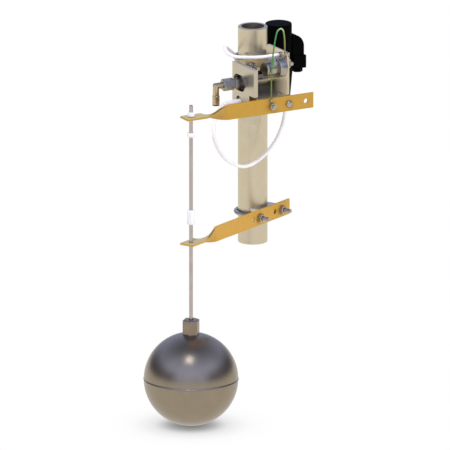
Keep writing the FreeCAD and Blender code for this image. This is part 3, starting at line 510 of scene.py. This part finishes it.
def paint_light_top(tree, sockets):
    # Painted light: upward faces glow bluish grey
    sockets["Emission Color"] = opaque(PAINTED_TOP_LIGHT)
    sockets["Emission Strength"] = tree.fade(tree.axes("Normal")["Z"], *PAINTED_TOP_FACING)


def shade_low(tree, sockets):
    shade = tree.fade(tree.axes("Position")["Z"], *FOOT_SHADE)
    sockets["Base Color"] = tree.mix(1.0, sockets["Base Color"], shade, "MULTIPLY")


def paint_twist_light_and_shade(tree, sockets):
    facing = tree.axes("Normal")
    spot = tree.axes("Position")
    # Painted sheen: pale on the ears' upward faces
    ear = tree.math("MULTIPLY", tree.fade(facing["Z"], *EAR_FACING), tree.fade(spot["X"], *EAR_REACH))
    twist = tree.fade(spot["X"], *TWIST_REACH)
    # Painted shade: dark olive on rising faces along the twist
    rising = tree.math("MULTIPLY", tree.fade(facing["Z"], *EDGE_RISING), tree.fade(facing["Z"], *EDGE_LEVEL))
    edge = tree.math("MULTIPLY", rising, tree.math("MULTIPLY", tree.fade(facing["Y"], *EDGE_FORWARD), twist))
    # Painted highlight: peach on downward faces along the twist
    falling = tree.math("MULTIPLY", tree.fade(facing["Z"], *PEACH_FALLING), twist)
    tint = tree.mix(ear, sockets["Base Color"], opaque(EAR_SHEEN_COLOUR))
    tint = tree.mix(edge, tint, opaque(EDGE_SHADE_COLOUR))
    sockets["Base Color"] = tree.mix(falling, tint, opaque(PEACH_HIGHLIGHT_COLOUR))


# Painted light: an emission that makes a part glow, though it is no lamp
def painted_glow(colour, strength):
    return {"Emission Color": opaque(colour), "Emission Strength": strength}


# Materials

def brushed(name, colour, roughness=0.26, finish=None):
    return surface(name, colour, 1.0, roughness, 1200, BRUSHED, bump=0.012, spread=0.025, finish=finish)


def steel(name):
    return brushed(name, (205, 193, 166))


def pipe_steel(name):
    return brushed(name, (212, 199, 171), roughness=0.37)


def plate_steel(name):
    return brushed(name, (196, 186, 164))


# Painted light: the rear plate's inner face glows
def inner_steel_painted_light(name):
    return brushed(name, (205, 193, 166), finish=paint_light_inside)


# Painted light: the base block's top glows
def base_steel_painted_light(name):
    return brushed(name, (205, 193, 166), finish=paint_light_top)


def back_steel(name):
    return brushed(name, (205, 193, 166), finish=shade_low)


def dark_steel(name):
    return surface(name, (172, 165, 150), metallic=1.0, roughness=0.30, grain=1400)


def boss_steel(name):
    return surface(name, (145, 131, 114), metallic=1.0, roughness=0.30, grain=1200)


def float_steel(name):
    return surface(name, (151, 138, 119), metallic=1.0, roughness=0.30, grain=1100, bump=0.02, spread=0.03)


def stainless(name):
    return surface(name, (190, 176, 170), metallic=1.0, roughness=0.30, grain=1200, stretch=BRUSHED)


def zinc(name):
    return surface(name, (180, 171, 156), metallic=1.0, roughness=0.26, grain=1500)


def fitting(name):
    return surface(name, (198, 180, 142), metallic=1.0, roughness=0.26, grain=1500)


def paint(name, colour):
    # The paint's own colour, with painted light and shade at the twists
    return surface(
        name, colour, metallic=0.0, roughness=0.42, grain=1600, bump=0.06, spread=0.02, finish=paint_twist_light_and_shade)


def yellow_paint(name):
    return paint(name, (203, 154, 50))


def lever_paint(name):
    return paint(name, (185, 141, 44))


def white_plastic(name):
    # Painted light: a faint glow brightens the white plastic
    glow = painted_glow((246, 246, 250), 0.07)
    return surface(name, (232, 232, 240), metallic=0.0, roughness=0.45, grain=1500, inputs=glow)


def tubing(name):
    # Painted light: a glow brightens the white tubing
    white = (236, 232, 238)
    return surface(name, white, metallic=0.0, roughness=0.30, grain=900, inputs=painted_glow(white, 0.14))


def black_plastic(name):
    dull = {"Specular IOR Level": 0.02}
    return surface(name, (5, 5, 5), metallic=0.0, roughness=0.58, grain=2200, bump=0.08, inputs=dull)


def green_wire(name):
    material, tree = new_tree(name)
    place = tree.add("ShaderNodeTexCoord")
    travelled = tree.add("ShaderNodeSeparateXYZ", {0: place.outputs["UV"]}).outputs["X"]
    along = tree.math("MULTIPLY", travelled, 1 / (UV_PER_METRE * WIRE_LENGTH))
    sway = tree.math("MULTIPLY", tree.noise(WIRE_GRAIN, BROAD_DETAIL), WIRE_SWAY)
    stops = [(stop, linear(colour)) for stop, colour in WIRE_STOPS]
    tint = tree.ramp(tree.math("ADD", along, sway), stops)
    shader = tree.add("ShaderNodeBsdfPrincipled", {"Base Color": tint, "Roughness": WIRE_ROUGHNESS})
    tree.add("ShaderNodeOutputMaterial", {"Surface": shader})
    return material


def make_materials():
    makers = {
        "steel": steel, "pipe_steel": pipe_steel, "plate_steel": plate_steel, "inner_steel_painted_light": inner_steel_painted_light,
        "base_steel_painted_light": base_steel_painted_light, "back_steel": back_steel, "dark_steel": dark_steel,
        "boss_steel": boss_steel, "float_steel": float_steel, "stainless": stainless, "zinc": zinc,
        "fitting": fitting, "yellow_paint": yellow_paint, "lever_paint": lever_paint,
        "white_plastic": white_plastic, "tubing": tubing, "black_plastic": black_plastic,
    }
    return {name: make(name) for name, make in makers.items()}


# Tubes and wire

def route(name, points):
    curve = bpy.data.curves.new(name, "CURVE")
    curve.dimensions = "3D"
    curve.resolution_u = CURVE_STEPS
    spline = curve.splines.new("NURBS")
    spline.points.add(len(points) - 1)
    for point, place in zip(spline.points, points):
        point.co = (*place, 1)
    spline.order_u = CURVE_ORDER
    spline.use_endpoint_u = True
    return curve


def line_points(curve):
    scratch = bpy.data.objects.new("line", curve)
    mesh = bpy.data.meshes.new_from_object(scratch)
    points = [vertex.co.copy() for vertex in mesh.vertices]
    bpy.data.objects.remove(scratch)
    bpy.data.meshes.remove(mesh)
    return points


def new_piece(name, data, material, body=None):
    piece = bpy.data.objects.new(name, data)
    bpy.context.collection.objects.link(piece)
    data.materials.append(material)
    if body:
        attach(piece, body)
    return piece


def tube_rings(points, radius, sides):
    verts, around = [], []
    side = Vector((0, 0, 1)).cross(points[1] - points[0])
    if side.length < WELD:
        side = Vector((1, 0, 0))
    travelled = 0.0
    for index, point in enumerate(points):
        ahead = (points[min(index + 1, len(points) - 1)] - points[max(index - 1, 0)]).normalized()
        side = (side - ahead * side.dot(ahead)).normalized()
        up = ahead.cross(side)
        travelled += (point - points[max(index - 1, 0)]).length
        for step in range(sides):
            angle = 2 * pi * step / sides
            verts.append(point + (side * cos(angle) + up * sin(angle)) * radius)
            around.append((travelled, step / sides))
    return verts, around


def tube_faces(rings, sides):
    faces = []
    for low in range(0, (rings - 1) * sides, sides):
        for step in range(sides):
            after = (step + 1) % sides
            faces.append((low + step, low + after, low + sides + after, low + sides + step))
    faces.append(tuple(reversed(range(sides))))
    faces.append(tuple(range((rings - 1) * sides, rings * sides)))
    return faces


def lay_along(mesh, around):
    layer = mesh.uv_layers.new(name="along")
    for polygon in mesh.polygons:
        polygon.use_smooth = len(polygon.vertices) == 4
        last = any(around[vertex][1] > 0.5 for vertex in polygon.vertices)
        for loop in polygon.loop_indices:
            along, turn = around[mesh.loops[loop].vertex_index]
            layer.data[loop].uv = (along * UV_PER_METRE, 1.0 if last and turn == 0.0 else turn)


def wire_mesh(name, points, radius):
    verts, around = tube_rings(points, radius, WIRE_SIDES)
    mesh = bpy.data.meshes.new(name)
    mesh.from_pydata(verts, [], tube_faces(len(points), WIRE_SIDES))
    lay_along(mesh, around)
    return mesh


def make_tube(name, node, points, material):
    curve = route(name, points)
    curve.bevel_depth = TUBE_DIAMETER / 2
    curve.bevel_resolution = RIM_STEPS
    curve.use_fill_caps = True
    piece = new_piece(name, curve, material, "root")
    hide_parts(node)


def make_earth_wire():
    path = line_points(route("earth_line", EARTH_WIRE))
    mesh = wire_mesh("bonding_wire", path, WIRE_DIAMETER / 2)
    wire = new_piece("bonding_wire", mesh, green_wire("green_wire"), None)
    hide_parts("earth_wire")
    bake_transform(wire)


def make_cords(materials):
    make_tube("loop_tube", "signal_tube", SIGNAL_TUBE, materials["tubing"])
    make_tube("top_tube", "return_tube", RETURN_TUBE, materials["tubing"])
    make_earth_wire()


# Turned shapes and small details

class Shape:
    def __init__(self):
        self.verts, self.faces = [], []

    def lathe(self, profile, centre, direction, sides=ROUND_SIDES, turn=0.0):
        direction = Vector(direction).normalized()
        across = Vector((0, 0, 1)).cross(direction)
        if across.length < NEARLY_UPRIGHT:
            across = Vector((1, 0, 0))
        across.normalize()
        up = direction.cross(across)
        closed = profile[0] == profile[-1]
        angles = [turn + 2 * pi * step / sides for step in range(sides)]
        outward = [across * cos(angle) + up * sin(angle) for angle in angles]
        self.skin([
            [Vector(centre) + direction * along + ray * radius for ray in outward]
            for radius, along in (profile[:-1] if closed else profile)
        ], closed)

    def skin(self, rings, closed=False):
        first, sides = len(self.verts), len(rings[0])
        for ring in rings:
            self.verts += ring
        for index in range(len(rings) if closed else len(rings) - 1):
            low = first + index * sides
            high = first + (index + 1) % len(rings) * sides
            for step in range(sides):
                after = (step + 1) % sides
                self.faces.append((low + step, low + after, high + after, high + step))
        if not closed:
            self.faces.append(tuple(range(first, first + sides)))
            self.faces.append(tuple(range(len(self.verts) - sides, len(self.verts))))

    def piece(self, name, material, body, slot, sharp=SHARP):
        mesh = bpy.data.meshes.new(name)
        mesh.from_pydata(self.verts, [], self.faces)
        work = bmesh.new()
        work.from_mesh(mesh)
        bmesh.ops.remove_doubles(work, verts=work.verts, dist=WELD)
        bmesh.ops.recalc_face_normals(work, faces=work.faces)
        work.to_mesh(mesh)
        work.free()
        mesh.set_sharp_from_angle(angle=sharp)
        return new_piece(name, mesh, material, body)


def thread_profile(radius, length):
    profile = [(radius + THREAD_START, 0.0)]
    for turn in range(int(length / THREAD_PITCH)):
        profile += [(radius + rise, (turn + part) * THREAD_PITCH) for part, rise in THREAD_FLANKS]
    return profile


def guide_legs(profile, reach, sides):
    shape = Shape()
    outward = Vector((sin(GUIDE_TURN), -cos(GUIDE_TURN), 0))
    across = Vector((cos(GUIDE_TURN), sin(GUIDE_TURN), 0))
    height = Vector((0, 0, GUIDE_HEIGHT))
    for side in (-CLAMP_HALF, CLAMP_HALF):
        shape.lathe(profile, across * side + outward * reach + height, outward, sides)
    return shape


def make_guide_threads(materials):
    threads = guide_legs(thread_profile(CLAMP_ROD, TAIL_LENGTH), GUIDE_NUT, ROUND_SIDES)
    threads.piece("guide_threads", materials["zinc"], "root", "zinc", THREAD_SHARP)


def make_housing_threads(materials):
    threads = Shape()
    profile = thread_profile(CLAMP_ROD, TAIL_LENGTH)
    for side in (-CLAMP_HALF, CLAMP_HALF):
        threads.lathe(profile, (side, -HOUSING_NUT, HOUSING_HEIGHT), (0, -1, 0))
    threads.piece("housing_threads", materials["zinc"], "root", "zinc", THREAD_SHARP)


def make_drive_thread(materials):
    tip = Shape()
    tip.lathe(thread_profile(DRIVE_ROD, DRIVE_TIP), DRIVE_END, (0, -1, 0))
    tip.piece("drive_thread", materials["zinc"], "lever", "zinc", THREAD_SHARP)


def make_guide_nuts(materials):
    nuts = guide_legs(NUT_PROFILE, 0, HEX)
    piece = nuts.piece("guide_nut_pair", materials["zinc"], "root", "zinc")
    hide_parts("guide_nuts")


def make_guide_washers(materials):
    washers = guide_legs(WASHER_PROFILE, 0, ROUND_SIDES)
    piece = washers.piece("guide_washer_pair", materials["zinc"], "root", "zinc")
    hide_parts("guide_washers")


def make_boss(materials):
    boss = Shape()
    boss.lathe(BOSS_PROFILE, (*ROD_PLACE, 0), (0, 0, 1), HEX, BOSS_TURN)
    piece = boss.piece("ball_boss", materials["boss_steel"], "float", "float_steel")
    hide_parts("float_boss")


def make_ball(materials):
    profile = []
    for degree in range(-90, 90 + BALL_STEP, BALL_STEP):
        radius = max(BALL_RADIUS * cos(radians(degree)), POLE_RADIUS)
        if degree == 0:
            profile += [(BALL_RADIUS + rise, SEAM_SHIFT + height) for height, rise in SEAM]
        else:
            profile.append((radius, BALL_RADIUS * sin(radians(degree))))
    ball = Shape()
    ball.lathe(profile, BALL_PLACE, (0, 0, 1), BALL_SIDES)
    piece = ball.piece("ball_skin", materials["float_steel"], "float", "float_steel", ROUND_SHARP)
    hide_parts("float_ball")


def elbow_rings():
    x, y = ELBOW_PLACE
    foot, low, high, end = [], [], [], []
    for step in range(SMALL_SIDES):
        across = ELBOW_RADIUS * cos(2 * pi * step / SMALL_SIDES)
        side = y + ELBOW_RADIUS * sin(2 * pi * step / SMALL_SIDES)
        cut = max(0.0, -2 * across - ELBOW_CUT)
        foot.append(Vector((x + across, side, ELBOW_FOOT)))
        low.append(Vector((x + across, side, SUPPLY_HEIGHT - across - cut)))
        high.append(Vector((x + across + cut, side, SUPPLY_HEIGHT - across)))
        end.append(Vector((ELBOW_END, side, SUPPLY_HEIGHT - across)))
    return [foot, low, high, end]


def make_elbow(materials):
    elbow = Shape()
    elbow.skin(elbow_rings())
    elbow.lathe(COLLAR_PROFILE, (*ELBOW_PLACE, 0), (0, 0, 1), SMALL_SIDES)
    piece = elbow.piece("elbow_fitting", materials["fitting"], "root", "fitting")
    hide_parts("supply_elbow")


def make_union(materials):
    union = Shape()
    union.lathe(UNION_PROFILE, (0, ELBOW_PLACE[1], SUPPLY_HEIGHT), (1, 0, 0), HEX, UNION_TURN)
    piece = union.piece("union_fitting", materials["dark_steel"], "root", "steel")
    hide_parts("supply_union")


def make_dark_rings(materials):
    rings = Shape()
    rings.lathe(RELEASE_PROFILE, (*ELBOW_PLACE, 0), (0, 0, 1), SMALL_SIDES)
    rings.lathe(SCREW_PROFILE, PLUG_SCREW, (0, -1, 0), SCREW_SIDES)
    rings.piece("dark_rings", materials["black_plastic"], "root", "black_plastic")


def make_supply_sleeve(materials):
    sleeve = Shape()
    sleeve.lathe(SLEEVE_PROFILE, (0, ELBOW_PLACE[1], SUPPLY_HEIGHT), (1, 0, 0))
    sleeve.piece("supply_sleeve", materials["dark_steel"], "root", "steel")


def make_pivot_dome(materials):
    dome = Shape()
    dome.lathe(PIVOT_PROFILE, PIVOT_HEAD, (0, -1, 0), SMALL_SIDES)
    dome.piece("pivot_dome", materials["zinc"], "lever", "zinc", ROUND_SHARP)


def make_details(materials):
    make_guide_threads(materials)
    make_housing_threads(materials)
    make_drive_thread(materials)
    make_guide_nuts(materials)
    make_guide_washers(materials)
    make_boss(materials)
    make_ball(materials)
    make_elbow(materials)
    make_union(materials)
    make_dark_rings(materials)
    make_supply_sleeve(materials)
    make_pivot_dome(materials)


# Finish of the nodes

def dress_nodes(materials):
    slots = {entry["node"]: entry["material_slot"] for entry in frame["record"]["subparts"]}
    slots.update(OTHER_FINISHES)
    for name, node in frame["nodes"].items():
        material = materials.get(slots[name])
        if material:
            for index in range(len(node.material_slots)):
                node.material_slots[index].material = material


def soften_node(node, width):
    weld = node.modifiers.new("weld", "WELD")
    weld.merge_threshold = WELD
    flat = node.modifiers.new("flat", "DECIMATE")
    flat.decimate_type = "DISSOLVE"
    flat.angle_limit = FLAT_ANGLE
    bevel = node.modifiers.new("edges", "BEVEL")
    bevel.width = width
    bevel.segments = EDGE_SEGMENTS
    bevel.limit_method = "ANGLE"
    bevel.angle_limit = EDGE_ANGLE
    bevel.harden_normals = True


def soften_edges():
    for width, names in EDGE_WIDTHS.items():
        for name in names:
            soften_node(frame["nodes"][name], width)


scene = bpy.context.scene
scene.view_settings.view_transform = "Standard"
make_camera()
make_lights()
make_world()
make_floor()
materials = make_materials()
dress_nodes(materials)
soften_edges()
make_cords(materials)
make_details(materials)
